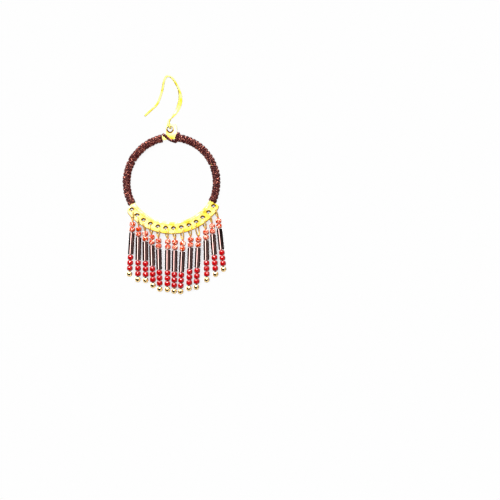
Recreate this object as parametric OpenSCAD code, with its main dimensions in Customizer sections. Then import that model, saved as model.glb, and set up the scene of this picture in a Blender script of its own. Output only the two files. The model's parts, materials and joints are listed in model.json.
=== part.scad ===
// Tassel hoop earring: an ear hook, a cast hoop with a drilled crescent plate and a soldered tab,
// a thread winding round the hoop, and thirteen beaded head pins that hang from the plate.
// Millimetres. The origin is the point under the top bend of the ear hook where the ear hole sits.
// +Z points up, the earring faces -Y, and +X is to the right of someone who looks at its face.

/* [Ear hook] */
// Diameter of the ear hook's wire
wire_d = 0.7; // [0.6:0.05:0.7]
// Width of the hook's hammered stretch, in the plane of the hook
flat_w = 1.4; // [0.8:0.1:1.6]
// Length of the straight run of wire that passes through the tab's hole
pin_l = 1.2; // [1.2:0.05:1.3]

/* [Hoop] */
// Radius of the hoop, to the middle of its band
hoop_r = 13.95; // [13.9:0.05:14]
// Width of the band, in the plane of the hoop
band_w = 1.3; // [1:0.1:1.5]
// Depth of the band and of the tab, from front to back
band_t = 1; // [0.8:0.1:1]
// Angle at which the hoop hangs, the lower end to the right
hang_tilt = 1.5; // [0:0.5:2]
// Radius of the tab's round top
tab_r = 1.75; // [1.7:0.05:1.8]
// Radius of the tab's hole
tab_hole_r = 0.96; // [0.94:0.02:0.98]

/* [Thread winding] */
// Width of the winding, in the plane of the hoop
wrap_w = 2.24; // [2.1:0.02:2.3]
// Depth of the winding, from front to back
wrap_t = 1.8; // [1.6:0.1:2]
// Angle from straight down at which the winding ends
wrap_low = 63; // [63:0.5:65]
// Angle from the top at which the left winding ends
wrap_left = 11.2; // [10:0.2:14]
// Angle from the top at which the right winding ends
wrap_right = 9.6; // [9.6:0.2:13]

/* [Crescent plate] */
// Thickness of the plate
plate_t = 0.8; // [0.7:0.1:0.8]
// Radius of the plate's outer edge
plate_r = 17.48; // [17.4:0.02:17.6]
// Radius of the raised inner rim, to its middle
rim_r = 14.33; // [14.2:0.01:14.4]
// Diameter of the raised inner rim
rim_d = 1.24; // [1.1:0.02:1.3]
// Radius of the row of holes
row_r = 15.87; // [15.8:0.01:15.9]
// Angle from one hole to the next
row_step = 8.85; // [8.8:0.05:8.9]
// Diameter of a strand's hole
hole_d = 1.3; // [1.26:0.02:1.5]

/* [Strands] */
// Diameter of the head pins' wire
pin_d = 0.5; // [0.4:0.05:0.5]
// Diameter of the ball at the foot of each head pin
ball_d = 1.8; // [1.6:0.1:1.8]
// Diameter of a seed bead
seed_d = 1.9; // [1.7:0.05:1.9]
// Length of a coral seed bead
coral_l = 1.5; // [1.4:0.05:1.5]
// Length of a red seed bead
red_l = 1.55; // [1.45:0.05:1.55]
// Diameter of a bugle bead
bugle_d = 1.85; // [1.6:0.05:1.85]
// Diameter of the bore through every bead
bore_d = 0.72; // [0.7:0.02:0.8]

/* [Hidden] */
$fn = 40;
// Play between two pieces that touch on the real earring
play = 0.08;
// Gap between two beads of a string, and between the last one and the ball
bead_gap = 0.12;
// Bare neck of a head pin between its eye and the first bead
neck_l = 0.3;
// Inner half width of a head pin's eye, and how far below the hole's centre its top lies
eye_r = 0.95;
eye_drop = 0.15;
// Diameter of the neck, where the wire of the eye meets the straight wire
neck_d = 1.1 * pin_d;
// Height of the crescent's own centre above the hoop's, and the turn of its row of holes
plate_rise = 1.41;
row_turn = 0.9;
// Radius of the plate's round ends, and the angle by which the left one lies inside the first hole
lobe_r = 1.6;
left_in = 1.3;
// Half angle of the raised rim
rim_half = 55;
// Radii of the shoulder between the plate and the winding, and the angles where it starts and ends
shoulder_in = 12.95;
shoulder_out = 14.9;
shoulder_low = 50;
shoulder_high = wrap_low - play / hoop_r * 180 / PI;
// Angle from straight down at which the bare band starts, inside the plate
band_low = 58;
// Height of the tab's hole above the hoop's centre, and the offset and height of its round top
tab_hole_h = 16.33;
tab_x = 0.42;
tab_h = 16.85;
// Bottom of the tab's straight sides, inside the band
tab_foot = 13.9;
// Straight run of wire in the tab's hole: its diameter, how far it is sunk into the bend at each end,
// and its clearance to the top of the hole
rod_d = 0.94 * wire_d;
rod_sunk = 0.25;
hang_gap = 0.08;

// Rows of the ear hook's wire, from its free end to the tab's hole: place of its middle, width in the
// plane of the hook and depth
HOOK_X = 0; HOOK_Y = 1; HOOK_Z = 2; HOOK_WIDE = 3; HOOK_DEEP = 4;
hook_rows = [
    [-7.25, 0, -12.05, 0.4, 0.4],
    [-7.0, 0, -11.85, 0.65, 0.65],
    [-5.0, 0, -10.0, wire_d, wire_d],
    [-3.4, 0, -8.4, wire_d, wire_d],
    [-2.4, 0, -6.0, wire_d, wire_d],
    [-1.7, 0, -3.6, wire_d, wire_d],
    [-1.35, 0, -1.5, wire_d, wire_d],
    [-0.75, 0, -0.1, wire_d, wire_d],
    [0.1, 0, wire_d / 2, wire_d, wire_d],
    [1.2, 0, -0.25, wire_d, wire_d],
    [2.3, 0, -1.8, wire_d, wire_d],
    [3.3, 0, -3.8, 0.75, 0.65],
    [3.8, 0, -6.2, flat_w * 0.85, 0.5],
    [3.55, 0, -8.4, flat_w, 0.45],
    [2.7, 0, -10.6, flat_w * 0.8, 0.5],
    [1.5, -0.15, -12.1, 0.8, 0.65],
    [0.55, -0.7, -13.1, wire_d, wire_d],
    [0.1, -1.15, -14.2, wire_d, wire_d],
    [0.15, -1.4, -15.0, wire_d, wire_d],
    [0.45, -1.3, -15.55, wire_d, wire_d],
    [0.65, -pin_l / 2 - 0.4, -15.76, wire_d, wire_d],
    [0.65, -pin_l / 2 - 0.3, -15.76, wire_d, wire_d],
    [0.65, -pin_l / 2, -15.76, wire_d, wire_d],
];
// Rows of the wire behind the tab, from the tab's hole to the end that closes the loop
loop_rows = [
    [0.65, pin_l / 2, -15.76, wire_d, wire_d],
    [0.65, pin_l / 2 + 0.3, -15.76, wire_d, wire_d],
    [0.65, pin_l / 2 + 0.4, -15.76, wire_d, wire_d],
    [0.5, 1.3, -15.5, wire_d, wire_d],
    [0.25, 1.4, -14.9, wire_d, wire_d],
    [0.15, 1.25, -14.1, wire_d, wire_d],
    [0.35, 0.95, -13.4, wire_d, wire_d],
    [0.7, 0.5, -12.85, wire_d * 0.95, wire_d * 0.95],
    [0.78, 0.42, -12.78, wire_d * 0.6, wire_d * 0.6],
];
// Middle of the straight run of wire in the tab's hole, which is the axis that the drop swings on
swing_at = [0.65, 0, -15.76];

// Rows of the thirteen strands, left to right: lean of the eye to the right, distance from the hole
// to the neck, turn of the eye about its own line, lean of the beads to the right, bugle length
EYE_LEAN = 0; EYE_L = 1; EYE_TURN = 2; LEAN = 3; BUGLE_L = 4;
strands = [
    [4.5, 3.35, 20, -3.5, 6.85],
    [8.4, 3.05, 12, -1, 7.1],
    [9.6, 3, -15, 0.5, 5.9],
    [6.5, 2.9, -24, 1.5, 6.4],
    [2.5, 3.2, 25, 1.5, 6.4],
    [12.5, 3.05, 24, -0.5, 6.3],
    [8, 3.1, 25, -1, 6.6],
    [6.5, 3.75, 25, -2.5, 6.4],
    [9.5, 3.25, 25, -2, 6.6],
    [9.5, 4.3, -25, -2.5, 6.2],
    [16, 3.4, 24, 1, 6.2],
    [18.5, 3.2, 15, 4, 6.4],
    [22.5, 3.6, 15, 6, 6.5],
];
count = len(strands);

function two(k) = k < 10 ? str("0", k) : str(k);
function names(stem) = [for (k = [1:count]) str(stem, two(k))];

// A point of the hoop's own frame, turned by the angle at which it hangs
function hung(p) = [
    p.x * cos(hang_tilt) - p.z * sin(hang_tilt), p.y, p.x * sin(hang_tilt) + p.z * cos(hang_tilt)
];
// The tab's hole hangs from the wire, which lies under the top of the hole
tab_hole_at = swing_at - [0, 0, tab_hole_r - rod_d / 2 - hang_gap];
hoop_at = tab_hole_at - hung([0, 0, tab_hole_h]);
// Hole k of the row, from the left, in the hoop's own frame and where it hangs
function hole_angle(k) = (k - (count + 1) / 2) * row_step + row_turn;
function row_flat(a) = [row_r * sin(a), plate_rise - row_r * cos(a)];
function hole_flat(k) = row_flat(hole_angle(k));
function hole_at(k) = hoop_at + hung([hole_flat(k).x, 0, hole_flat(k).y]);
// Neck of strand k, at the foot of its eye
function neck_at(k) = let (s = strands[k - 1])
    hole_at(k) + s[EYE_L] * [sin(s[EYE_LEAN]), 0, -cos(s[EYE_LEAN])];

// Distance from a strand's neck down to the top of each of its parts
coral_top = neck_l;
bugle_top = coral_top + 2 * (coral_l + bead_gap);
function red_top(k) = bugle_top + strands[k - 1][BUGLE_L] + bead_gap;
function ball_top(k) = red_top(k) + 3 * (red_l + bead_gap);

// A smooth curve through the rows of a wire, in steps to each span
function spline(a, b, c, d, t) =
    0.5 * ((2 * b) + (c - a) * t + (2 * a - 5 * b + 4 * c - d) * t * t
    + (3 * b - a - 3 * c + d) * t * t * t);
function curve(rows, steps) = let (last = len(rows) - 1) concat(
    [for (i = [0:last - 1], j = [0:steps - 1])
        spline(rows[max(i - 1, 0)], rows[i], rows[i + 1], rows[min(i + 2, last)], j / steps)],
    [rows[last]]
);
function unit(v) = v / norm(v);
function middle(row) = [row[HOOK_X], row[HOOK_Y], row[HOOK_Z]];
function tangent(path, i) =
    unit(middle(path[min(i + 1, len(path) - 1)]) - middle(path[max(i - 1, 0)]));
// The section's depth direction, carried along the wire so that it never twists
function carried(n, t) = unit(n - t * (n * t));
function depths(path, n, i = 0) = i == len(path) ? [] :
    let (m = carried(n, tangent(path, i))) concat([m], depths(path, m, i + 1));

// A wire of changing oval section through the given rows
module swept_wire(rows, depth_from, steps = 4, sides = 14) {
    path = curve(rows, steps);
    deep = depths(path, depth_from);
    points = [for (i = [0:len(path) - 1]) let (wide = cross(tangent(path, i), deep[i]))
        for (j = [0:sides - 1])
            middle(path[i]) + wide * cos(360 * j / sides) * path[i][HOOK_WIDE] / 2
            + deep[i] * sin(360 * j / sides) * path[i][HOOK_DEEP] / 2];
    last = (len(path) - 1) * sides;
    walls = [for (i = [0:len(path) - 2], j = [0:sides - 1]) let (k = (j + 1) % sides)
        [i * sides + k, (i + 1) * sides + k, (i + 1) * sides + j, i * sides + j]];
    ends = [[for (j = [sides - 1:-1:0]) j], [for (j = [0:sides - 1]) last + j]];
    polyhedron(points, concat(walls, ends), convexity = 6);
}

// Stands a flat shape up in the plane of the hoop, its own Z towards the front
module upright() rotate([90, 0, 0]) children();

// Carries the drop's own frame to where it hangs
module hanging() translate(hoop_at) rotate([0, -hang_tilt, 0]) children();

// Ring or part ring of a section drawn at its radius, from one angle on by another
module turned(from, by) rotate([0, 0, from]) rotate_extrude(angle = by) children();

// Wedge of the plane between two angles from straight down, past a radius
module wedge(from, to, reach) polygon(concat(
    [[0, 0]],
    [for (i = [0:8]) let (a = from + (to - from) * i / 8) reach * [sin(a), -cos(a)]]
));

// Strip between two radii and between two angles from straight down
module arc_strip(inner, outer, from, to) intersection() {
    difference() {
        circle(outer);
        circle(inner);
    }
    wedge(from, to, 1.3 * outer);
}

// Ear hook: a bent wire, hammered flat at the front, closed in a loop through the tab's hole
module ear_hook() color("gold") {
    swept_wire(hook_rows, [0, 1, 0]);
    translate(swing_at) rotate([90, 0, 0]) cylinder(d = rod_d, h = pin_l + 2 * rod_sunk, center = true);
    swept_wire(loop_rows, [1, 0, 0]);
}

// Bare band: a strip that runs from the plate over the top and back
module band() linear_extrude(band_t, center = true) for (side = [-1, 1])
    arc_strip(hoop_r - band_w / 2, hoop_r + band_w / 2, side * band_low, side * 180);

// Tab: a flat loop with a round top, a little to the right of its own hole
module tab() linear_extrude(band_t, center = true) {
    translate([tab_x, tab_h]) circle(tab_r);
    translate([tab_x - tab_r, tab_foot]) square([2 * tab_r, tab_h - tab_foot]);
}

// Outline of the crescent: flange, a round lobe at each end, and shoulders up to the winding
module plate_outline() {
    ends = [hole_angle(1) + left_in, hole_angle(count)];
    translate([0, plate_rise]) arc_strip(rim_r, plate_r, ends[0], ends[1]);
    difference() {
        for (a = ends) translate(row_flat(a)) circle(lobe_r);
        for (side = [-1, 1]) wedge(side * shoulder_high, side * 100, 2 * hoop_r);
    }
    for (side = [-1, 1]) arc_strip(shoulder_in, shoulder_out, side * shoulder_low, side * shoulder_high);
}

// Crescent: the plate and its raised inner rim
module crescent() {
    linear_extrude(plate_t, center = true) plate_outline();
    translate([0, plate_rise, 0]) turned(-rim_half - 90, 2 * rim_half)
        translate([rim_r, 0]) circle(d = rim_d);
}

// Hoop: band, crescent plate and tab, cast and soldered as one piece of metal
module hoop_frame() color("goldenrod") hanging() upright() difference() {
    union() {
        band();
        crescent();
        tab();
    }
    translate([0, tab_hole_h, 0]) cylinder(r = tab_hole_r, h = 4, center = true);
    for (k = [1:count]) translate(hole_flat(k)) cylinder(d = hole_d, h = 4, center = true);
}

module wrap_section() translate([hoop_r, 0]) difference() {
    corner = wrap_t / 2 - 0.1;
    union() {
        for (x = [-1, 1], y = [-1, 1])
            translate([x * (wrap_w / 2 - corner), y * (wrap_t / 2 - corner)]) circle(corner);
        square([wrap_w - 2 * corner, wrap_t], center = true);
        square([wrap_w, wrap_t - 2 * corner], center = true);
    }
    square([band_w + 2 * play, band_t + 2 * play], center = true);
}

// Thread winding: two tight tubes of thread round the band, left and right of the tab
module thread_wrap() color("saddlebrown") hanging() upright() {
    turned(wrap_low - 90, 180 - wrap_low - wrap_right) wrap_section();
    turned(90 + wrap_left, 180 - wrap_low - wrap_left) wrap_section();
}

// Stands at strand k's hole, its Z back up the eye's own line
module at_hole(k) translate(hole_at(k)) rotate([0, -strands[k - 1][EYE_LEAN], 0]) children();

// Stands at strand k's neck, its Z back up the string of beads
module at_neck(k) translate(neck_at(k)) rotate([0, -strands[k - 1][LEAN], 0]) children();

// Eye of a head pin: a half ring through the hole, two straight legs and two that close on the neck
module pin_eye(eye_l) {
    ring_z = -eye_drop - eye_r;
    knee_z = -eye_l + eye_r;
    translate([0, 0, ring_z]) rotate([90, 0, 90]) turned(0, 180) translate([eye_r, 0]) circle(d = pin_d);
    for (y = [-eye_r, eye_r]) {
        translate([0, y, knee_z]) cylinder(d = pin_d, h = ring_z - knee_z);
        translate([0, y, knee_z]) sphere(d = pin_d);
        translate([0, 0, -eye_l]) rotate([y < 0 ? 45 : -45, 0, 0])
            cylinder(d = pin_d, h = eye_r * sqrt(2));
    }
    translate([0, 0, -eye_l]) sphere(d = neck_d);
}

// Head pin: eye, straight wire and the ball that the beads rest on
module head_pin(k) color("khaki") {
    at_hole(k) rotate([0, 0, strands[k - 1][EYE_TURN]]) pin_eye(strands[k - 1][EYE_L]);
    at_neck(k) {
        reach = ball_top(k) + ball_d / 2;
        translate([0, 0, -reach]) cylinder(d = pin_d, h = reach);
        translate([0, 0, -reach]) sphere(d = ball_d);
    }
}

// Seed bead with round walls, its top at the origin
module seed_bead(length) translate([0, 0, -length / 2]) rotate_extrude() difference() {
    translate([(seed_d - length) / 2, 0]) circle(d = length);
    translate([-seed_d, -length]) square([seed_d + bore_d / 2, 2 * length]);
}

// Two coral glass seed beads at the top of strand k
module coral_beads(k) color("orangered") at_neck(k) for (i = [0, 1])
    translate([0, 0, -coral_top - i * (coral_l + bead_gap)]) seed_bead(coral_l);

// Bronze glass bugle bead of strand k, a cut tube with chamfered ends
module bugle_bead(k) color([0.16, 0.11, 0.10]) at_neck(k) {
    l = strands[k - 1][BUGLE_L];
    r = bugle_d / 2;
    c = 0.1;
    translate([0, 0, -bugle_top - l]) rotate_extrude() polygon([
        [bore_d / 2, 0], [r - c, 0], [r, c], [r, l - c], [r - c, l], [bore_d / 2, l]
    ]);
}

// Three ruby glass seed beads at the foot of strand k
module red_beads(k) color("crimson") at_neck(k) for (i = [0, 1, 2])
    translate([0, 0, -red_top(k) - i * (red_l + bead_gap)]) seed_bead(red_l);

ear_hook();
hoop_frame();
thread_wrap();
for (k = [1:count]) {
    head_pin(k);
    coral_beads(k);
    bugle_bead(k);
    red_beads(k);
}
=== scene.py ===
import json
import math
import random

import bmesh
import bpy
import numpy as np
from mathutils import Matrix, Vector

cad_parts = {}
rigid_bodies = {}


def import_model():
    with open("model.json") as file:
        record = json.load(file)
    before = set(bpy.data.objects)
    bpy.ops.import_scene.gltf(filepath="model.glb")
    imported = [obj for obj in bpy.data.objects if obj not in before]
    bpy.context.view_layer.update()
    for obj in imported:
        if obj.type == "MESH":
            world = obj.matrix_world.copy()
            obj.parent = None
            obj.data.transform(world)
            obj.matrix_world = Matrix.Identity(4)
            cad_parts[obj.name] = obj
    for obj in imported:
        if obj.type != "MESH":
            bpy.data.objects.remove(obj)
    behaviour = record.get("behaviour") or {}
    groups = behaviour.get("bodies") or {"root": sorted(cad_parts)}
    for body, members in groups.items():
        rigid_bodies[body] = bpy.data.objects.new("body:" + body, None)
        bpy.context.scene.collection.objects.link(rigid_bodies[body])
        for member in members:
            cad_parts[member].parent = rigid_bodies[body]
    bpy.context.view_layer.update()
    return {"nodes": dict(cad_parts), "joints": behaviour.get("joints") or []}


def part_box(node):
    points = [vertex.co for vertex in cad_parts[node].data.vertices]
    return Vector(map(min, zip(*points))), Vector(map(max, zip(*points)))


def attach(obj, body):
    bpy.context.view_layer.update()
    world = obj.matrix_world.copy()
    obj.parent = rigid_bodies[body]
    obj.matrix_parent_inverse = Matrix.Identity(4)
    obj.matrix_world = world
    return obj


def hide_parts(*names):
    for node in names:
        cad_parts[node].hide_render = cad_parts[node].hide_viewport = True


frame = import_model()

# Sizes of the hoop, in metres and radians
MM = 0.001
HOOP_R = 13.95 * MM
HANG_TILT = math.radians(1.5)
TAB_HOLE_R = 0.96 * MM
TAB_HOLE_H = 16.33 * MM
# The hook's wire in the tab's hole, and its gap to the top of the hole
ROD_R = 0.329 * MM
HANG_GAP = 0.08 * MM
# The plate's outer edge and its row of holes run round a point that lies above the hoop's middle
PLATE_RISE = 1.41 * MM
PLATE_R = 17.48 * MM
HOLE_R = 0.65 * MM
ROW_R = 15.87 * MM
ROW_STEP = math.radians(8.85)
ROW_TURN = math.radians(0.9)
COUNT = 13

# Wear of the hoop: the burrs at its holes, and how far painted shade reaches from an edge
BURR = 0.22 * MM
TAB_BURR = 0.32 * MM
EDGE_SHADE = 0.5 * MM
HOLE_SHADE = 0.5 * MM

# Sizes of the winding: its lower ends from straight down, its upper ends from straight up, and its section
WRAP_LOW = math.radians(63)
WRAP_LEFT = math.radians(11.2)
WRAP_RIGHT = math.radians(9.6)
WRAP_W = 2.24 * MM
WRAP_T = 1.8 * MM

# Sizes of the head pins and beads
PIN_D = 0.5 * MM
BALL_D = 1.8 * MM
SEED_D = 1.9 * MM
CORAL_L = 1.5 * MM
RED_L = 1.55 * MM
BUGLE_D = 1.85 * MM
BORE_D = 0.72 * MM
BEAD_GAP = 0.12 * MM
NECK_L = 0.3 * MM
EYE_R = 0.95 * MM
EYE_DROP = 0.15 * MM
# Turn of each head pin's eye about its own line, in degrees
EYE_TURNS = (20, 12, -15, -24, 25, 24, 25, 25, 25, -25, 24, 15, 15)

# Places
SWING = Vector(frame["joints"][0]["pos_m"])
TAB_HOLE = SWING - Vector((0, 0, TAB_HOLE_R - ROD_R - HANG_GAP))
HANG = Matrix.Rotation(-HANG_TILT, 4, "Y")
# From the hoop's own frame, with its middle as origin, to the earring's
HOOP = Matrix.Translation(TAB_HOLE) @ HANG @ Matrix.Translation((0, 0, -TAB_HOLE_H))


def hole_in_hoop(k):
    """How far across and up from the hoop's middle hole k of the plate lies. Holes count from the left."""
    angle = (k - (COUNT + 1) / 2) * ROW_STEP + ROW_TURN
    return ROW_R * math.sin(angle), PLATE_RISE - ROW_R * math.cos(angle)


def middle(node):
    """Middle of a node's box."""
    low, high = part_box(node)
    return (low + high) / 2


def string_of(k):
    """Middle of the coral pair, middle of the red three and the direction that string k hangs in."""
    top = middle(f"coral_beads_{k:02d}")
    foot = middle(f"red_beads_{k:02d}")
    return top, foot, (foot - top).normalized()


# Colours and nodes
COLOUR = {"data_type": "RGBA"}
SOFT = {"interpolation_type": "SMOOTHSTEP"}


def srgb(code):
    """Linear colour of an sRGB hex value."""
    parts = [int(code[i:i + 2], 16) / 255 for i in (1, 3, 5)]
    linear = [c / 12.92 if c <= 0.04045 else ((c + 0.055) / 1.055) ** 2.4 for c in parts]
    return (*linear, 1.0)


def add(tree, kind, settings=None, inputs=None):
    """Adds a node. A setting is one of its attributes; an input is a value or another node's output."""
    made = tree.nodes.new(kind)
    for name, value in (settings or {}).items():
        setattr(made, name, value)
    for name, value in (inputs or {}).items():
        if isinstance(value, bpy.types.NodeSocket):
            tree.links.new(value, made.inputs[name])
        else:
            made.inputs[name].default_value = value
    return made


def new_material(name):
    """An empty node material, its tree and its output node."""
    made = bpy.data.materials.new(name)
    made.use_nodes = True
    made.node_tree.nodes.clear()
    return made, made.node_tree, add(made.node_tree, "ShaderNodeOutputMaterial")


def unshaded_share(tree):
    """1 on open metal and 0 in corners and next to another piece, where painted shade darkens the metal."""
    nearness = add(tree, "ShaderNodeAmbientOcclusion", {"samples": 8}, {"Distance": 0.5 * MM})
    return add(tree, "ShaderNodeMapRange", SOFT, {
        "Value": nearness.outputs["AO"], "From Min": 0.25, "From Max": 0.65}).outputs["Result"]


def polished_gold():
    """Gold-flashed cast brass, tumbled to a soft polish.

    It is lemon yellow in soft patches, with a cream painted highlight on the tab and towards the left end,
    and brown painted shade in corners, on the plate's outer edge and at the tops of its holes.
    The tumbling leaves it faintly wavy, so its highlights are soft and uneven.
    """
    wave = 1.111 * MM
    patch = 1.786 * MM
    made, tree, out = new_material("gold_flashed_brass")
    place = add(tree, "ShaderNodeTexCoord").outputs["Object"]
    waves = add(tree, "ShaderNodeTexNoise", inputs={
        "Vector": place, "Scale": 1 / wave, "Detail": 3, "Roughness": 0.5})
    tint = add(tree, "ShaderNodeTexNoise", inputs={
        "Vector": place, "Scale": 1 / patch, "Detail": 2, "Roughness": 0.5})
    patches = add(tree, "ShaderNodeMapRange", SOFT, {
        "Value": tint.outputs["Fac"], "From Min": 0.36, "From Max": 0.64})
    clean = add(tree, "ShaderNodeMix", COLOUR, {
        "Factor": patches.outputs["Result"], "A": srgb("#EED03A"), "B": srgb("#FFFA94")})
    # Painted highlight: cream where the attribute pale is high, on the tab and towards the left end
    pale = add(tree, "ShaderNodeAttribute", {"attribute_name": "pale"})
    highlighted = add(tree, "ShaderNodeMix", COLOUR, {
        "Factor": pale.outputs["Fac"], "A": clean.outputs["Result"], "B": srgb("#FFF8D8")})
    tarnish = add(tree, "ShaderNodeAttribute", {"attribute_name": "tarnish"})
    # Painted shade on the plate's outer edge, the tops of its holes and round the tab's hole: brown to dark
    # brown
    brown = add(tree, "ShaderNodeMapRange", SOFT, {
        "Value": tarnish.outputs["Fac"], "From Min": 0.4, "From Max": 0.85})
    painted_light = add(tree, "ShaderNodeMix", COLOUR, {
        "Factor": brown.outputs["Result"], "A": srgb("#B07A1C"), "B": srgb("#301804")})
    cover = add(tree, "ShaderNodeMapRange", SOFT, {
        "Value": tarnish.outputs["Fac"], "From Min": 0.0, "From Max": 0.6})
    shaded = add(tree, "ShaderNodeMix", COLOUR, {
        "Factor": cover.outputs["Result"], "A": highlighted.outputs["Result"], "B": painted_light.outputs["Result"]})
    # Painted shade: the gold turns brown in corners and next to other pieces
    mixed = add(tree, "ShaderNodeMix", COLOUR, {
        "Factor": unshaded_share(tree), "A": srgb("#5A340E"), "B": shaded.outputs["Result"]})
    dull = add(tree, "ShaderNodeMapRange", inputs={
        "Value": waves.outputs["Fac"], "To Min": 0.34, "To Max": 0.48})
    relief = add(tree, "ShaderNodeBump", inputs={
        "Height": waves.outputs["Fac"], "Strength": 0.25, "Distance": 0.06 * MM})
    skin = add(tree, "ShaderNodeBsdfPrincipled", inputs={
        "Base Color": mixed.outputs["Result"], "Metallic": 1.0, "Roughness": dull.outputs["Result"],
        "Normal": relief.outputs["Normal"]})
    tree.links.new(skin.outputs["BSDF"], out.inputs["Surface"])
    return made


def washed_gold(name, low, high, smooth, dull_most):
    """Light gold wash on drawn steel: bright and pale, with painted shade that makes it browner where two
    pieces touch.

    In clouds, its colour goes from low to high and its roughness from smooth to dull_most.
    """
    cloud_size = 0.667 * MM
    made, tree, out = new_material(name)
    place = add(tree, "ShaderNodeTexCoord").outputs["Object"]
    cloud = add(tree, "ShaderNodeTexNoise", inputs={"Vector": place, "Scale": 1 / cloud_size, "Detail": 2})
    clean = add(tree, "ShaderNodeMix", COLOUR, {
        "Factor": cloud.outputs["Fac"], "A": srgb(low), "B": srgb(high)})
    # Painted shade: the wash turns brown in corners and next to other pieces
    mixed = add(tree, "ShaderNodeMix", COLOUR, {
        "Factor": unshaded_share(tree), "A": srgb("#5A340E"), "B": clean.outputs["Result"]})
    dull = add(tree, "ShaderNodeMapRange", inputs={
        "Value": cloud.outputs["Fac"], "To Min": smooth, "To Max": dull_most})
    skin = add(tree, "ShaderNodeBsdfPrincipled", inputs={
        "Base Color": mixed.outputs["Result"], "Metallic": 1.0, "Roughness": dull.outputs["Result"]})
    tree.links.new(skin.outputs["BSDF"], out.inputs["Surface"])
    return made


def foil_thread():
    """Metallic cord, dark maroon viscose with copper foil in each strand: it glints in short bright spots."""
    # Real foil is too fine to show, so its flecks are drawn as coarse as a pixel
    fleck = MM / 3
    hue_size = 1.43 * MM
    made, tree, out = new_material("copper_foil_thread")
    place = add(tree, "ShaderNodeTexCoord").outputs["Object"]
    flecks = add(tree, "ShaderNodeTexNoise", inputs={
        "Vector": place, "Scale": 1 / fleck, "Detail": 1, "Roughness": 0.4})
    foil = add(tree, "ShaderNodeMapRange", SOFT, {
        "Value": flecks.outputs["Fac"], "From Min": 0.59, "From Max": 0.66})
    hues = add(tree, "ShaderNodeTexNoise", inputs={"Vector": place, "Scale": 1 / hue_size, "Detail": 1})
    viscose = add(tree, "ShaderNodeMix", COLOUR, {
        "Factor": hues.outputs["Fac"], "A": srgb("#2A060A"), "B": srgb("#4C0E12")})
    copper = add(tree, "ShaderNodeMix", COLOUR, {
        "Factor": hues.outputs["Fac"], "A": srgb("#C25E50"), "B": srgb("#F0A890")})
    tone = add(tree, "ShaderNodeMix", COLOUR, {
        "Factor": foil.outputs["Result"], "A": viscose.outputs["Result"], "B": copper.outputs["Result"]})
    skin = add(tree, "ShaderNodeBsdfPrincipled", inputs={
        "Base Color": tone.outputs["Result"], "Metallic": foil.outputs["Result"], "Roughness": 0.4,
        "Specular IOR Level": 0.18})
    tree.links.new(skin.outputs["BSDF"], out.inputs["Surface"])
    return made


def coral_glass():
    """Silver-lined coral seed-bead glass, fire-polished: orange red, with cream glints painted into its
    colour.
    """
    cloud_size = 1.43 * MM
    # Size of the painted glints: the finest that show, about a pixel wide
    glint_size = 0.3125 * MM
    made, tree, out = new_material("coral_lined_glass")
    place = add(tree, "ShaderNodeTexCoord").outputs["Object"]
    cloud = add(tree, "ShaderNodeTexNoise", inputs={"Vector": place, "Scale": 1 / cloud_size, "Detail": 2})
    glass = add(tree, "ShaderNodeMix", COLOUR, {
        "Factor": cloud.outputs["Fac"], "A": srgb("#861200"), "B": srgb("#AE3400")})
    glint_noise = add(tree, "ShaderNodeTexNoise", inputs={
        "Vector": place, "Scale": 1 / glint_size, "Detail": 1, "Roughness": 0.4})
    # Painted highlight: cream glints in small spots of the glass's colour
    painted_glint = add(tree, "ShaderNodeMapRange", SOFT, {
        "Value": glint_noise.outputs["Fac"], "From Min": 0.585, "From Max": 0.645})
    mixed = add(tree, "ShaderNodeMix", COLOUR, {
        "Factor": painted_glint.outputs["Result"], "A": glass.outputs["Result"], "B": srgb("#FFE8CE")})
    skin = add(tree, "ShaderNodeBsdfPrincipled", inputs={
        "Base Color": mixed.outputs["Result"], "Roughness": 0.05, "IOR": 1.52, "Specular IOR Level": 0.2,
        "Transmission Weight": 0.1, "Coat Weight": 0.05, "Coat Roughness": 0.03})
    tree.links.new(skin.outputs["BSDF"], out.inputs["Surface"])
    return made


def silver_lining():
    """Silvering inside the bore of the coral beads: a thin bright coat that sends the light back out."""
    made, tree, out = new_material("bead_silvering")
    skin = add(tree, "ShaderNodeBsdfPrincipled", inputs={
        "Base Color": srgb("#FFF1E0"), "Metallic": 1.0, "Roughness": 0.12})
    tree.links.new(skin.outputs["BSDF"], out.inputs["Surface"])
    return made


def bronze_glass():
    """Drawn bugle glass with a fired bronze lustre: near black, with a pinkish gleam along its length."""
    cloud_size = 3.85 * MM
    made, tree, out = new_material("bronze_lustre_glass")
    place = add(tree, "ShaderNodeTexCoord").outputs["Object"]
    cloud = add(tree, "ShaderNodeTexNoise", inputs={"Vector": place, "Scale": 1 / cloud_size, "Detail": 2})
    mixed = add(tree, "ShaderNodeMix", COLOUR, {
        "Factor": cloud.outputs["Fac"], "A": srgb("#4A3634"), "B": srgb("#644A45")})
    skin = add(tree, "ShaderNodeBsdfPrincipled", inputs={
        "Base Color": mixed.outputs["Result"], "Metallic": 1.0, "Roughness": 0.05,
        "Coat Weight": 0.3, "Coat Roughness": 0.03})
    tree.links.new(skin.outputs["BSDF"], out.inputs["Surface"])
    return made


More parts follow.
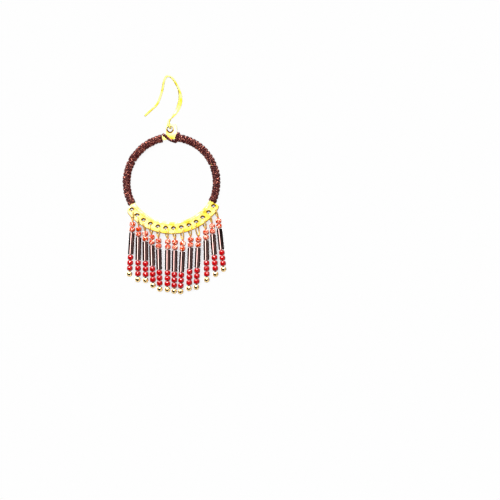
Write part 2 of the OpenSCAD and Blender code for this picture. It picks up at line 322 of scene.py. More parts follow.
def ruby_glass():
    """Opaque ruby seed-bead glass with a lustre glaze: deep red with small hard highlights."""
    cloud_size = 2 * MM
    made, tree, out = new_material("ruby_lustre_glass")
    place = add(tree, "ShaderNodeTexCoord").outputs["Object"]
    cloud = add(tree, "ShaderNodeTexNoise", inputs={"Vector": place, "Scale": 1 / cloud_size, "Detail": 2})
    mixed = add(tree, "ShaderNodeMix", COLOUR, {
        "Factor": cloud.outputs["Fac"], "A": srgb("#5E0001"), "B": srgb("#7A0103")})
    skin = add(tree, "ShaderNodeBsdfPrincipled", inputs={
        "Base Color": mixed.outputs["Result"], "Roughness": 0.04, "IOR": 1.5, "Specular IOR Level": 0.35,
        "Coat Weight": 0.2, "Coat Roughness": 0.03, "Subsurface Weight": 0.2,
        "Subsurface Radius": (1 * MM, 0.3 * MM, 0.3 * MM), "Subsurface Scale": 0.5})
    tree.links.new(skin.outputs["BSDF"], out.inputs["Surface"])
    return made


# Meshes
# A direction that no path here starts in
ACROSS = (0.31, 0.52, 0.79)


def mesh_piece(name, verts, faces, material, smooth=True):
    """A mesh object of the given points and faces."""
    mesh = bpy.data.meshes.new(name)
    mesh.from_pydata([tuple(v) for v in verts], [], faces)
    mesh.materials.append(material)
    mesh.polygons.foreach_set("use_smooth", [smooth] * len(mesh.polygons))
    mesh.update()
    made = bpy.data.objects.new(name, mesh)
    bpy.context.scene.collection.objects.link(made)
    return made


def join_parts(parts):
    """One list of points and one of faces from several."""
    verts, faces = [], []
    for points, corners in parts:
        base = len(verts)
        verts.extend(points)
        faces.extend(tuple(base + i for i in face) for face in corners)
    return verts, faces


def lathe(profile, steps, place):
    """A closed profile of (radius, height) turned about Z, then placed."""
    count = len(profile)
    verts = []
    for i in range(steps):
        a = 2 * math.pi * i / steps
        verts.extend(place @ Vector((r * math.cos(a), r * math.sin(a), z)) for r, z in profile)
    faces = []
    for i in range(steps):
        near, far = i * count, (i + 1) % steps * count
        faces.extend((near + j, far + j, far + (j + 1) % count, near + (j + 1) % count) for j in range(count))
    return verts, faces


def ball(radius, centre, steps=32):
    """A sphere as rings from pole to pole."""
    verts = [centre + Vector((0, 0, radius))]
    rings = steps // 2
    for i in range(1, rings):
        a = math.pi * i / rings
        for j in range(steps):
            b = 2 * math.pi * j / steps
            away = Vector((math.sin(a) * math.cos(b), math.sin(a) * math.sin(b), math.cos(a)))
            verts.append(centre + radius * away)
    verts.append(centre - Vector((0, 0, radius)))
    last = len(verts) - 1
    faces = [(0, 1 + j, 1 + (j + 1) % steps) for j in range(steps)]
    for i in range(rings - 2):
        near, far = 1 + i * steps, 1 + (i + 1) * steps
        faces.extend((near + j, far + j, far + (j + 1) % steps, near + (j + 1) % steps) for j in range(steps))
    foot = last - steps
    faces.extend((foot + (j + 1) % steps, foot + j, last) for j in range(steps))
    return verts, faces


def smooth_path(points, steps):
    """A curve through the points, in steps to each span."""
    made = []
    last = len(points) - 1
    for i in range(last):
        a, b, c, d = (points[max(i - 1, 0)], points[i], points[i + 1], points[min(i + 2, last)])
        for j in range(steps):
            t = j / steps
            made.append(0.5 * ((2 * b) + (c - a) * t + (2 * a - 5 * b + 4 * c - d) * t * t
                               + (3 * b - a - 3 * c + d) * t ** 3))
    made.append(points[last])
    return made


def carried_axes(centres):
    """At each point of a path, two directions square to it and to each other, carried along without twist."""
    tangents = np.gradient(centres, axis=0)
    tangents /= np.linalg.norm(tangents, axis=1)[:, None]
    normal = np.cross(tangents[0], ACROSS)
    made = []
    for tangent in tangents:
        normal = normal - tangent * (normal @ tangent)
        normal /= np.linalg.norm(normal)
        made.append((normal, np.cross(tangent, normal)))
    return made


def tube_faces(rings, sides):
    """Faces of a closed tube whose points are its rings, one after the other."""
    faces = []
    for i in range(rings - 1):
        near, far = i * sides, (i + 1) * sides
        faces.extend((near + j, near + (j + 1) % sides, far + (j + 1) % sides, far + j) for j in range(sides))
    faces.append(tuple(reversed(range(sides))))
    faces.append(tuple(range((rings - 1) * sides, rings * sides)))
    return faces


def tube(path, radius, sides):
    """A round tube with flat ends along a path."""
    centres = np.array([tuple(p) for p in path])
    turns = 2 * math.pi * np.arange(sides) / sides
    verts = []
    for centre, (normal, side) in zip(centres, carried_axes(centres)):
        ring = centre + radius * (np.outer(np.cos(turns), normal) + np.outer(np.sin(turns), side))
        verts.extend(Vector(p) for p in ring)
    return verts, tube_faces(len(centres), sides)


def aim(point, down):
    """Places a piece that is made along Z with its top up, at a point, its foot in a direction."""
    return Matrix.Translation(point) @ (-down).to_track_quat("Z", "X").to_matrix().to_4x4()


def worn_copy(node, name, voxel, rounding, material):
    """A copy of a metal node whose sharp edges are rounded, as tumbling leaves them.

    It is meshed anew in cells of the voxel's size and smoothed in as many rounds as rounding says.
    """
    made = frame["nodes"][node].copy()
    made.data = made.data.copy()
    made.name = name
    made.data.name = name
    for key in [key for key in made.keys() if key.startswith("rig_")]:
        del made[key]
    bpy.context.scene.collection.objects.link(made)
    shape = bmesh.new()
    shape.from_mesh(made.data)
    bmesh.ops.remove_doubles(shape, verts=shape.verts, dist=0.002 * MM)
    shape.to_mesh(made.data)
    shape.free()
    grid = made.modifiers.new("grid", "REMESH")
    grid.mode = "VOXEL"
    grid.voxel_size = voxel
    soften = made.modifiers.new("soften", "SMOOTH")
    soften.factor = 0.5
    soften.iterations = rounding
    bpy.context.view_layer.update()
    seen = made.evaluated_get(bpy.context.evaluated_depsgraph_get())
    mesh = bpy.data.meshes.new_from_object(seen)
    made.modifiers.clear()
    made.data = mesh
    mesh.name = name
    mesh.materials.clear()
    mesh.materials.append(material)
    mesh.polygons.foreach_set("use_smooth", [True] * len(mesh.polygons))
    made.parent = None
    made.matrix_world = Matrix.Identity(4)
    return made


# Hoop and ear hook
def points_in_hoop(mesh):
    """The points of a mesh in the hoop's own frame, a row for each: across, to the back and up."""
    points = np.empty(len(mesh.vertices) * 3)
    mesh.vertices.foreach_get("co", points)
    turn = np.array(HOOP.inverted())
    return points.reshape(-1, 3) @ turn[:3, :3].T + turn[:3, 3]


def draw_in(points, centre, radius, burr, share=1):
    """Draws a round hole's edge inwards by a share of a burr, which fades out twice the burr past it."""
    away = points[:, [0, 2]] - centre
    reach = np.maximum(np.hypot(*away.T), radius / 4)
    drawn = burr * np.clip(1 - (reach - radius) / (2 * burr), 0, 1) * share
    points[:, [0, 2]] = centre + away * (1 - drawn / reach)[:, None]


def raise_burrs(mesh):
    """Draws the edges of the plate's holes and the foot of the tab's inwards, where the punch left a burr."""
    points = points_in_hoop(mesh)
    for k in range(1, COUNT + 1):
        draw_in(points, np.array(hole_in_hoop(k)), HOLE_R, BURR)
    foot = np.clip(0.5 - 1.5 * (points[:, 2] - TAB_HOLE_H) / TAB_HOLE_R, 0, 1)
    draw_in(points, np.array([0, TAB_HOLE_H]), TAB_HOLE_R, TAB_BURR, foot)
    back = np.array(HOOP)
    mesh.vertices.foreach_set("co", (points @ back[:3, :3].T + back[:3, 3]).ravel())
    mesh.update()


def ring_shade(reach, edge, full):
    """1 from a hole's edge to the full share of the painted shade's width past it, and 0 a width further out.
    """
    return np.clip(1 + full - (reach - edge) / HOLE_SHADE, 0, 1)


def painted_light(mesh):
    """Writes the painted shade and how pale the metal is made as a painted highlight, each from 0 to 1, for
    the gold's colour.

    Painted shade lies on the plate's outer edge, at the tops of the plate's holes and round the tab's hole.
    The painted highlight makes it pale on the tab, more to the right, and towards the left end of the plate.
    """
    edge_shade = 0.75
    tab_pale = 0.55
    left_pale = 0.3
    shoulder = 1.2 * MM
    points = points_in_hoop(mesh)
    x, z = points[:, 0], points[:, 2]
    drop = PLATE_RISE - z
    outer = np.clip((np.hypot(x, drop) - PLATE_R) / EDGE_SHADE + 1, 0, 1) * (drop > 0.5 * PLATE_R)
    tarnish = edge_shade * outer
    for k in range(1, COUNT + 1):
        hole_x, hole_z = hole_in_hoop(k)
        across, up = x - hole_x, z - hole_z
        # Painted shade: the tops of the holes are darker than their bottoms
        upper = np.clip(0.35 + 1.2 * up / HOLE_R, 0, 1)
        ring = ring_shade(np.hypot(across, up), HOLE_R - BURR, 0.35) * upper
        tarnish = np.maximum(tarnish, ring)
    ring = ring_shade(np.hypot(x, z - TAB_HOLE_H), TAB_HOLE_R - TAB_BURR, 0.4)
    tarnish = np.maximum(tarnish, ring)
    # Painted highlight: paler on the tab, more to the right, and towards the left end of the plate
    tab = tab_pale * np.clip((z - HOOP_R) / shoulder, 0, 1) * np.clip(x / TAB_HOLE_R + 1.2, 0, 1)
    pale = np.where(z > 0, tab, left_pale * np.clip(-x / HOOP_R, 0, 1))
    mesh.attributes.new("tarnish", "FLOAT", "POINT").data.foreach_set("value", tarnish)
    mesh.attributes.new("pale", "FLOAT", "POINT").data.foreach_set("value", pale)


def make_hoop(material):
    """The cast hoop with its plate and tab, its edges rounded, its holes burred and painted shade and
    highlight on its gold.
    """
    hoop = worn_copy("hoop_frame", "cast_hoop", voxel=0.085 * MM, rounding=9, material=material)
    raise_burrs(hoop.data)
    painted_light(hoop.data)
    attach(hoop, "drop")
    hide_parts("hoop_frame")


def make_hook(material):
    """The ear hook, its edges rounded."""
    hook = worn_copy("ear_hook", "ear_wire", voxel=0.05 * MM, rounding=3, material=material)
    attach(hook, "hook")
    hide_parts("ear_hook")


# Thread winding
STRAND_R = 0.18 * MM
STRAND_SIDES = 7
# How far a strand of the cord wanders from the cord's middle, along the hoop and out from it
CORD_WIDE = 0.35 * MM
CORD_DEEP = 0.09 * MM
# How far the soft cord bulges past the plain tube that stands for it
CORD_PROUD = 0.14 * MM
# The length of one twist of the cord, and the way from one turn to the next
CORD_TWIST = 2.5 * MM
CORD_PITCH = 1.05 * MM
STEPS_A_TURN = 44
# From the winding's ends to its first and last turns, and how much of a turn lies on the next one there
FIRST_TURN = 0.42 * MM
LAST_TURN = 0.3 * MM
STACKED = 0.9
# How far a half turn may lie off its place, along the hoop and out from it, in mm
SLACK_ALONG = (-0.06, 0.06)
SLACK_OUT = (-0.02, 0.07)
# Places where two turns part and show the gold: angles from straight down, and how far they part
LEFT_GAPS = ((math.radians(119.5), 0.35 * MM),)
RIGHT_GAPS = ((math.radians(111), 0.4 * MM),)
# The first layer of thread: how deep it lies under the cord's middle, and its steps and ends in radians
SLEEVE_DEEP = 0.05 * MM
SLEEVE_SIDES = 20
SLEEVE_STEP = 0.02
SLEEVE_END = 0.01


def round_band(angle, turn, proud, corner=0.7):
    """A point on the winding: angle from straight down round the hoop, turn round the band.

    The corner is 1 for an oval section and 0 for a square one.
    """
    half_w = WRAP_W / 2 - STRAND_R - CORD_DEEP + CORD_PROUD + proud
    half_t = WRAP_T / 2 - STRAND_R - CORD_DEEP + CORD_PROUD + proud
    c, s = math.cos(turn), math.sin(turn)
    r = HOOP_R + math.copysign(abs(c) ** corner, c) * half_w
    deep = math.copysign(abs(s) ** corner, s) * half_t
    return HOOP @ Vector((r * math.sin(angle), deep, -r * math.cos(angle)))


def wound_side(side, top_angle, gaps, seed):
    """A three-strand cord wound round one side of the hoop, from the plate up to the tab."""
    rng = random.Random(seed)
    low = WRAP_LOW * HOOP_R + FIRST_TURN
    high = (math.pi - top_angle) * HOOP_R - LAST_TURN
    room = high - low - sum(wide for _, wide in gaps)
    turns = round(room / CORD_PITCH)
    girth = math.pi * (WRAP_W + WRAP_T) / 2
    slack = [(rng.uniform(*SLACK_ALONG) * MM, rng.uniform(*SLACK_OUT) * MM) for _ in range(turns * 2 + 3)]
    strands = []
    for strand in range(3):
        path = []
        for i in range(turns * STEPS_A_TURN + 1):
            turn = i / STEPS_A_TURN
            along = low + room * min(max((turn - STACKED) / (turns - 2 * STACKED), 0), 1)
            for gap_angle, wide in gaps:
                along += wide * min(max((along - gap_angle * HOOP_R) / (CORD_PITCH / 4) + 0.5, 0), 1)
            near, share = int(turn * 2), turn * 2 % 1
            shift, proud = [a + (b - a) * share for a, b in zip(slack[near], slack[near + 1])]
            twist = 2 * math.pi * (side * turn * girth / CORD_TWIST + strand / 3)
            angle = (along + shift + CORD_WIDE * math.cos(twist)) / HOOP_R
            path.append(round_band(side * angle, 2 * math.pi * turn, proud + CORD_DEEP * math.sin(twist)))
        strands.append(tube(path, STRAND_R, STRAND_SIDES))
    return strands


def sleeve(side, top_angle, gaps):
    """The first layer of thread, which fills the space under the cord, open where two turns part."""
    edges = [WRAP_LOW + SLEEVE_END]
    for gap_angle, wide in gaps:
        edges += [gap_angle, gap_angle + wide / HOOP_R]
    edges.append(math.pi - top_angle - SLEEVE_END)
    parts = []
    for low, high in zip(edges[::2], edges[1::2]):
        steps = max(int((high - low) / SLEEVE_STEP), 2)
        verts = []
        for i in range(steps + 1):
            angle = side * (low + (high - low) * i / steps)
            verts.extend(round_band(angle, 2 * math.pi * j / SLEEVE_SIDES, -SLEEVE_DEEP, 0.5)
                         for j in range(SLEEVE_SIDES))
        parts.append((verts, tube_faces(steps + 1, SLEEVE_SIDES)))
    return parts


def loose_cord(points, strand_r, spread, twist_length, start):
    """Three strands twisted round each other along a curve through the points."""
    centres = np.array([tuple(p) for p in smooth_path(points, 10)])
    along = np.concatenate([[0], np.cumsum(np.linalg.norm(np.diff(centres, axis=0), axis=1))])
    axes = carried_axes(centres)
    strands = []
    for strand in range(3):
        turns = 2 * math.pi * (along / twist_length + strand / 3) + start
        path = [c + spread * (math.cos(t) * n + math.sin(t) * s)
                for c, t, (n, s) in zip(centres, turns, axes)]
        strands.append(tube(path, strand_r, STRAND_SIDES))
    return strands


def crossing_cord():
    """The cord's start, which crosses the bare band in front of the tab to the winding on the right."""
    # Angle from straight up in degrees, then distance from the hoop's middle and depth in mm
    rows = ((-8.6, 15.0, -0.5), (-7.9, 14.9, -0.85), (-6.0, 14.45, -1.05), (-3.5, 13.7, -1.0),
            (0.5, 13.0, -0.85), (4.0, 12.75, -0.6), (7.0, 12.6, 0.0), (8.4, 13.2, 0.85), (9.2, 14.6, 0.9),
            (9.8, 15.3, 0.1), (9.3, 15.1, -0.7), (8.1, 14.4, -1.02), (7.8, 13.4, -1.02), (8.5, 12.75, -0.6))
    points = []
    for degrees, away, deep in rows:
        angle = math.radians(degrees)
        points.append(HOOP @ Vector((away * MM * math.sin(angle), deep * MM, away * MM * math.cos(angle))))
    return loose_cord(points, strand_r=0.24 * MM, spread=0.22 * MM, twist_length=1.8 * MM, start=0.4)


def knot(angle, radius, y):
    """A small overhand knot where a new length of cord was tied in."""
    centre = Vector((radius * math.sin(angle), y, -radius * math.cos(angle)))
    side = Vector((math.cos(angle), 0, math.sin(angle)))
    out = Vector((math.sin(angle), 0, -math.cos(angle)))
    front = Vector((0, -1, 0))
    # Along the hoop, out from it and to the front, in mm
    rows = ((-0.4, -0.1, -0.1), (0, 0.22, 0.16), (0.34, 0.02, 0.02), (0.05, -0.14, -0.2), (-0.26, 0.12, 0.04),
            (0.02, 0.2, -0.12), (0.42, -0.12, -0.12))
    points = [HOOP @ (centre + (a * side + b * out + c * front) * MM) for a, b, c in rows]
    return [tube(smooth_path(points, 6), 0.17 * MM, 8)]


def make_winding(material):
    """The whole winding: first layer, wound cord, its start across the tab, and a knot on the left side."""
    parts = sleeve(-1, WRAP_LEFT, LEFT_GAPS) + sleeve(1, WRAP_RIGHT, RIGHT_GAPS)
    parts += wound_side(-1, WRAP_LEFT, LEFT_GAPS, seed=3)
    parts += wound_side(1, WRAP_RIGHT, RIGHT_GAPS, seed=5)
    parts += crossing_cord()
    parts += knot(math.radians(-123.5), radius=14.85 * MM, y=-0.45 * MM)
    verts, faces = join_parts(parts)
    winding = mesh_piece("thread_winding", verts, faces, material)
    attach(winding, "drop")
    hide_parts("thread_wrap")


# Head pins
WIRE_SIDES = 12


def make_head_pin(k, wire_metal, ball_metal):
    """A head pin: a long eye through its hole, a straight wire through the beads, and a ball at the foot."""
    top, foot, down = string_of(k)
    neck = top - down * (CORAL_L + BEAD_GAP / 2 + NECK_L)
    ball_at = foot + down * (1.5 * RED_L + 2 * BEAD_GAP + BALL_D / 2)
    hole_x, hole_z = hole_in_hoop(k)
    hole = HOOP @ Vector((hole_x, 0, hole_z))
    length = (neck - hole).length
    eye = aim(hole, (neck - hole).normalized()) @ Matrix.Rotation(math.radians(EYE_TURNS[k - 1]), 4, "Z")
    # The eye's outline, across and up from the hole: from the neck up one side, over, and down the other
    r = EYE_R
    ring = -EYE_DROP - r
    knee = -length + r
    rise = [(-0.05 * r, -length - 0.2 * MM), (-0.12 * r, -length + 0.05 * MM), (-0.62 * r, knee - 0.45 * r),
            (-r, knee + 0.2 * r), (-r, ring)]
    over = [(-r * math.cos(a), ring + r * math.sin(a)) for a in (math.pi / 4, math.pi / 2, 3 * math.pi / 4)]
    fall = [(r, ring), (r, knee + 0.2 * r), (0.62 * r, knee - 0.45 * r), (0.3 * r, -length + 0.16 * MM)]
    bend = smooth_path([eye @ Vector((0, y, z)) for y, z in rise + over + fall], 5)
    shaft = [neck - down * 0.1 * MM, neck, ball_at - down * BALL_D / 4]
    parts = [tube(bend, PIN_D / 2, WIRE_SIDES), tube(shaft, PIN_D / 2, WIRE_SIDES), ball(BALL_D / 2, ball_at)]
    verts, faces = join_parts(parts)
    pin = mesh_piece(f"pin_with_ball_{k:02d}", verts, faces, wire_metal)
    pin.data.materials.append(ball_metal)
    ball_faces = parts[-1][1]
    for face in pin.data.polygons[-len(ball_faces):]:
        face.material_index = 1
    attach(pin, "drop")
    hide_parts(f"head_pin_{k:02d}")


# Beads
SEED_STEPS = 32
BUGLE_STEPS = 36
# How round a seed bead's wall is: 1 for an ellipse, and squarer below that
FULLNESS = 0.88
# How far a seed bead may slant, in degrees, and its size as a share of the true one
SEED_SLANT = 3
SEED_SIZE = (0.97, 1.02)


def seed_profile(length):
    """Profile of a seed bead: round walls and a fire-polished bore."""
    bore = BORE_D / 2
    waist = bore + 0.06 * MM
    lip = bore + 0.015 * MM
    outer = [(waist + (SEED_D / 2 - waist) * math.cos(a) ** FULLNESS,
              math.copysign(abs(math.sin(a)) ** FULLNESS, a) * length / 2)
             for a in np.linspace(-math.pi / 2, math.pi / 2, 21)]
    top = outer[-1][1]
    return outer + [(lip, top - 0.02 * MM), (bore, top - 0.08 * MM), (bore, 0), (bore, -top + 0.08 * MM),
                    (lip, -top + 0.02 * MM)]


def bead_row(centre, down, count, length, rng):
    """A row of seed beads, each a little off the true size and slant."""
    parts = []
    pitch = length + BEAD_GAP
    for i in range(count):
        place = aim(centre + down * pitch * (i - (count - 1) / 2), down)
        place = place @ Matrix.Rotation(math.radians(rng.uniform(-SEED_SLANT, SEED_SLANT)), 4, "X")
        place = place @ Matrix.Rotation(math.radians(rng.uniform(-SEED_SLANT, SEED_SLANT)), 4, "Y")
        place = place @ Matrix.Scale(rng.uniform(*SEED_SIZE), 4)
        parts.append(lathe(seed_profile(pitch - 0.05 * MM), SEED_STEPS, place))
    return parts


def bead_piece(name, node, parts, material):
    """One piece of the beads given, in place of a node."""
    verts, faces = join_parts(parts)
    piece = mesh_piece(name, verts, faces, material)
    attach(piece, "drop")
    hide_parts(node)


def make_lining(k, material):
    """The silvered square bores of the two coral beads, each turned its own way."""
    rng = random.Random(300 + k)
    top, _, down = string_of(k)
    pitch = CORAL_L + BEAD_GAP
    half = CORAL_L / 2 - 0.08 * MM
    outer = BORE_D / 2 + 0.04 * MM
    inner = outer - 0.05 * MM
    profile = [(inner, -half), (outer, -half), (0.9 * outer, 0), (outer, half), (inner, half)]
    parts = []
    for end in (-0.5, 0.5):
        place = aim(top + down * pitch * end, down) @ Matrix.Rotation(rng.uniform(0, math.pi / 2), 4, "Z")
        parts.append(lathe(profile, 4, place))
    verts, faces = join_parts(parts)
    piece = mesh_piece(f"bore_lining_{k:02d}", verts, faces, material, smooth=False)
    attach(piece, "drop")


def make_bugle(k, material):
    """A bugle bead: a drawn glass tube with cut ends, a little softened by the fire."""
    top, foot, down = string_of(k)
    upper = top + down * (CORAL_L + BEAD_GAP * 1.5)
    lower = foot - down * (1.5 * RED_L + BEAD_GAP * 2)
    half = (lower - upper).length / 2
    r = BUGLE_D / 2
    edge = 0.09 * MM
    bore = BORE_D / 2
    turns = np.linspace(0, math.pi / 2, 5)
    wall = [(r, 0), (r, half - 2.2 * edge), (r, half - 1.3 * edge)]
    corner = [(r - edge + edge * math.cos(a), half - edge + edge * math.sin(a)) for a in turns]
    rim = [(r - 1.4 * edge, half), (bore + 1.4 * edge, half), (bore + edge / 2, half),
           (bore, half - edge / 2), (bore, half - edge)]
    upper_half = wall + corner + rim
    profile = upper_half + [(bore, 0)] + [(x, -z) for x, z in reversed(upper_half)][:-1]
    parts = [lathe(profile, BUGLE_STEPS, aim((upper + lower) / 2, down))]
    bead_piece(f"bugle_tube_{k:02d}", f"bugle_bead_{k:02d}", parts, material)


def make_strings(wire_metal, ball_metal, coral, lining, bronze, ruby):
    """The thirteen head pins and their beads."""
    for k in range(1, COUNT + 1):
        rng = random.Random(100 + k)
        top, foot, down = string_of(k)
        make_head_pin(k, wire_metal, ball_metal)
        pair = bead_row(top, down, 2, CORAL_L, rng)
        bead_piece(f"coral_seeds_{k:02d}", f"coral_beads_{k:02d}", pair, coral)
        make_lining(k, lining)
        make_bugle(k, bronze)
        three = bead_row(foot, down, 3, RED_L, rng)
        bead_piece(f"ruby_seeds_{k:02d}", f"red_beads_{k:02d}", three, ruby)


# Stage
# Two points of the board's front, one behind the strings' feet and one behind the tab
BOARD_LOW = Vector((0, 1.2, -66)) * MM
BOARD_HIGH = Vector((0, 1.9, -15)) * MM
STAGE_HALF = 1.5
FLOOR_Z = -0.16


def white_card():
    """White card, seen only from the front: evenly white, with a soft lilac shade next to the earring."""
    made, tree, out = new_material("white_card")
    towards_key = add(tree, "ShaderNodeCombineXYZ", inputs={"X": -0.35, "Y": -0.8, "Z": 0.5})
    nearness = add(tree, "ShaderNodeAmbientOcclusion", {"samples": 12}, {
        "Distance": 4 * MM, "Normal": towards_key.outputs["Vector"]})
    light = add(tree, "ShaderNodeMapRange", SOFT, {
        "Value": nearness.outputs["AO"], "From Min": 0.02, "From Max": 0.5})
    tone = add(tree, "ShaderNodeMix", COLOUR, {
        "Factor": light.outputs["Result"], "A": srgb("#9C929E"), "B": srgb("#FEFEFE")})
    front = add(tree, "ShaderNodeEmission", inputs={"Color": tone.outputs["Result"], "Strength": 1.0})
    behind = add(tree, "ShaderNodeBsdfTransparent")
    side = add(tree, "ShaderNodeNewGeometry").outputs["Backfacing"]
    one_sided = add(tree, "ShaderNodeMixShader", inputs={
        "Fac": side, 1: front.outputs["Emission"], 2: behind.outputs["BSDF"]})
    tree.links.new(one_sided.outputs["Shader"], out.inputs["Surface"])
    return made


def pale_paper():
    """Matt white paper, lit evenly to near white."""
    made, tree, out = new_material("pale_paper")
    skin = add(tree, "ShaderNodeEmission", inputs={"Color": srgb("#FEFEFE"), "Strength": 1.0})
    tree.links.new(skin.outputs["Emission"], out.inputs["Surface"])
    return made


def make_stage():
    """A white board right behind the earring, which takes its soft shadow, and a pale floor below."""
    slope = (BOARD_HIGH - BOARD_LOW) / (BOARD_HIGH.z - BOARD_LOW.z)
    foot = BOARD_LOW + slope * (FLOOR_Z - BOARD_LOW.z)
    head = foot + slope * STAGE_HALF
    wide = Vector((STAGE_HALF, 0, 0))
    upright = [foot - wide, foot + wide, head + wide, head - wide]
    board = mesh_piece("white_board", upright, [(0, 1, 2, 3)], white_card())
    corners = ((-1, -1), (1, -1), (1, 1), (-1, 1))
    flat = [Vector((x * STAGE_HALF, y * STAGE_HALF, FLOOR_Z)) for x, y in corners]
    floor = mesh_piece("pale_floor", flat, [(0, 1, 2, 3)], pale_paper())
    for piece in (board, floor):
        piece.visible_diffuse = False
        piece.visible_glossy = False
        piece.visible_shadow = False


# Lights
LIGHT_AWAY = 2.0
LIGHT_AIM = Vector((0, 0, -0.04))
# Name, azimuth, elevation, width and height in degrees as the earring sees them, radiance, and the start of
# the names of the pieces it lights, or None for all. Azimuth is 0 at the camera and positive to the right.
SOFT_BOXES = (
    ("key_box", -10, 42, 56, 34, 4.5, None),
    ("key_core", -17, 30, 10, 12, 42, None),
    ("top_box", 5, 74, 60, 24, 6, None),
    ("side_box", 42, -8, 18, 24, 2.2, None),
    ("rear_box", 205, 12, 70, 50, 2.5, None),
    ("tube_strip", -24, 0, 20, 110, 29, "bugle_tube"),
    ("tube_rear", 180, 0, 16, 110, 6, "bugle_tube"),
    ("ruby_box", -8, 25, 17, 17, 130, "ruby_seeds"),
    ("coral_box", -8, 25, 18, 18, 48, "coral_seeds"),
    ("hoop_front", -6, -8, 90, 76, 0.78, ("cast_hoop", "thread_winding")),
    ("hook_box", 28, 0, 86, 80, 1.05, "ear_wire"),
    ("hoop_low", -10, -62, 90, 36, 1.6, "cast_hoop"),
    ("hoop_strip", -28, 0, 28, 22, 4, "cast_hoop"),
    ("back_box", 190, 55, 60, 30, 4, None))


def soft_box(name, azimuth, elevation, wide, high, radiance, only):
    """A soft box that faces the earring and lights the pieces whose names start with only, or all pieces."""
    light = bpy.data.lights.new(name, "AREA")
    light.shape = "RECTANGLE"
    light.size = 2 * LIGHT_AWAY * math.tan(math.radians(wide / 2))
    light.size_y = 2 * LIGHT_AWAY * math.tan(math.radians(high / 2))
    light.energy = radiance * math.pi * light.size * light.size_y
    made = bpy.data.objects.new(name, light)
    a, e = math.radians(azimuth), math.radians(elevation)
    away = Vector((math.sin(a) * math.cos(e), -math.cos(a) * math.cos(e), math.sin(e)))
    made.location = LIGHT_AIM + away * LIGHT_AWAY
    made.rotation_mode = "QUATERNION"
    made.rotation_quaternion = away.to_track_quat("Z", "Y")
    made.visible_camera = False
    bpy.context.scene.collection.objects.link(made)
    if only:
        lit = bpy.data.collections.new(name + "_lit")
        for piece in bpy.context.scene.objects:
            if piece.name.startswith(only):
                lit.objects.link(piece)
        made.light_linking.receiver_collection = lit


def make_lights():
    """All the soft boxes, once every piece is there."""
    for row in SOFT_BOXES:
        soft_box(*row)


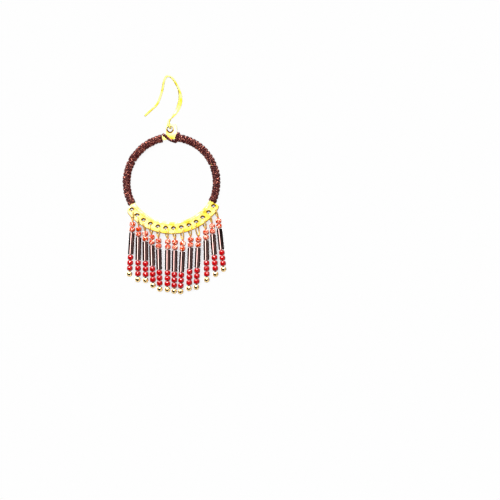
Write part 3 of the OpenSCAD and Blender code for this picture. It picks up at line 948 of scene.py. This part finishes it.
def make_world():
    """Studio surroundings for the reflections, and plain white for the camera.

    They are pale above and below. They are dark behind, at the height of the earring, in a band that rises
    to the left, and in front. In front they are darkest, which gives the balls their black cores.
    """
    world = bpy.data.worlds.new("studio")
    bpy.context.scene.world = world
    world.use_nodes = True
    tree = world.node_tree
    tree.nodes.clear()
    out = add(tree, "ShaderNodeOutputWorld")
    way = add(tree, "ShaderNodeTexCoord").outputs["Generated"]
    axes = add(tree, "ShaderNodeSeparateXYZ", inputs={"Vector": way})
    x, y, z = (axes.outputs[name] for name in "XYZ")
    off_level = add(tree, "ShaderNodeMath", {"operation": "ABSOLUTE"}, {0: z})
    slant = add(tree, "ShaderNodeMath", {"operation": "MULTIPLY_ADD"}, {0: x, 1: 0.4, 2: 0.28})
    slanted = add(tree, "ShaderNodeMath", {"operation": "ADD"}, {0: z, 1: slant.outputs["Value"]})
    off_slant = add(tree, "ShaderNodeMath", {"operation": "ABSOLUTE"}, {0: slanted.outputs["Value"]})
    facing = add(tree, "ShaderNodeVectorMath", {"operation": "DOT_PRODUCT"}, {
        0: way, 1: Vector((-0.14, -1, -0.1)).normalized()})
    # Each zone by the value that marks it, where that is outside the zone, and where it is well inside
    zones = {
        "above": (z, 0.3, 0.8),
        "below": (z, -0.3, -0.6),
        "behind": (y, 0.3, 0.75),
        "level": (off_level.outputs["Value"], 0.22, 0.1),
        "slanting": (off_slant.outputs["Value"], 0.36, 0.16),
        "left": (x, 0.12, -0.1),
        "front": (facing.outputs["Value"], math.cos(math.radians(72)), math.cos(math.radians(60)))}
    share = {}
    for zone, (value, outside, inside) in zones.items():
        share[zone] = add(tree, "ShaderNodeMapRange", SOFT, {
            "Value": value, "From Min": outside, "From Max": inside}).outputs["Result"]
    band = add(tree, "ShaderNodeMath", {"operation": "MULTIPLY"}, {0: share["slanting"], 1: share["left"]})
    share["band"] = band.outputs["Value"]
    share["camera"] = add(tree, "ShaderNodeLightPath").outputs["Is Camera Ray"]
    # Brightness of each zone, a later one over those before it
    levels = (("above", 1.6), ("below", 1.25), ("behind", 0.07), ("level", 0.12), ("band", 0.06),
              ("front", 0.01), ("camera", 0.991))
    glow = 0.8
    for zone, brightness in levels:
        glow = add(tree, "ShaderNodeMix", {"data_type": "FLOAT"}, {
            "Factor": share[zone], "A": glow, "B": brightness}).outputs["Result"]
    back = add(tree, "ShaderNodeBackground", inputs={"Color": srgb("#FFFFFF"), "Strength": glow})
    tree.links.new(back.outputs["Background"], out.inputs["Surface"])


# Camera
VIEW_W = 155 * MM
HALF_VIEW = math.radians(10)
# Where the middle of the picture lies in the earring's frame, across and up
VIEW_X = 25.39 * MM
VIEW_Z = -53.6 * MM


def make_camera():
    """A long lens straight in front of the earring, framed as in the photograph."""
    lens = bpy.data.cameras.new("camera")
    lens.sensor_width = 36
    lens.lens = lens.sensor_width / 2 / math.tan(HALF_VIEW)
    lens.clip_start = 0.01
    lens.clip_end = 10
    made = bpy.data.objects.new("camera", lens)
    made.location = (VIEW_X, -VIEW_W / 2 / math.tan(HALF_VIEW), VIEW_Z)
    made.rotation_euler = (math.pi / 2, 0, 0)
    bpy.context.scene.collection.objects.link(made)
    bpy.context.scene.camera = made


gold = polished_gold()
make_hoop(gold)
make_hook(gold)
make_winding(foil_thread())
wire = washed_gold("gold_washed_wire", low="#EAB650", high="#FFE296", smooth=0.38, dull_most=0.5)
balls = washed_gold("gold_washed_balls", low="#F2CC82", high="#FFE4B0", smooth=0.03, dull_most=0.07)
make_strings(wire, balls, coral_glass(), silver_lining(), bronze_glass(), ruby_glass())
make_stage()
make_lights()
make_world()
make_camera()
bpy.context.scene.view_settings.view_transform = "Standard"
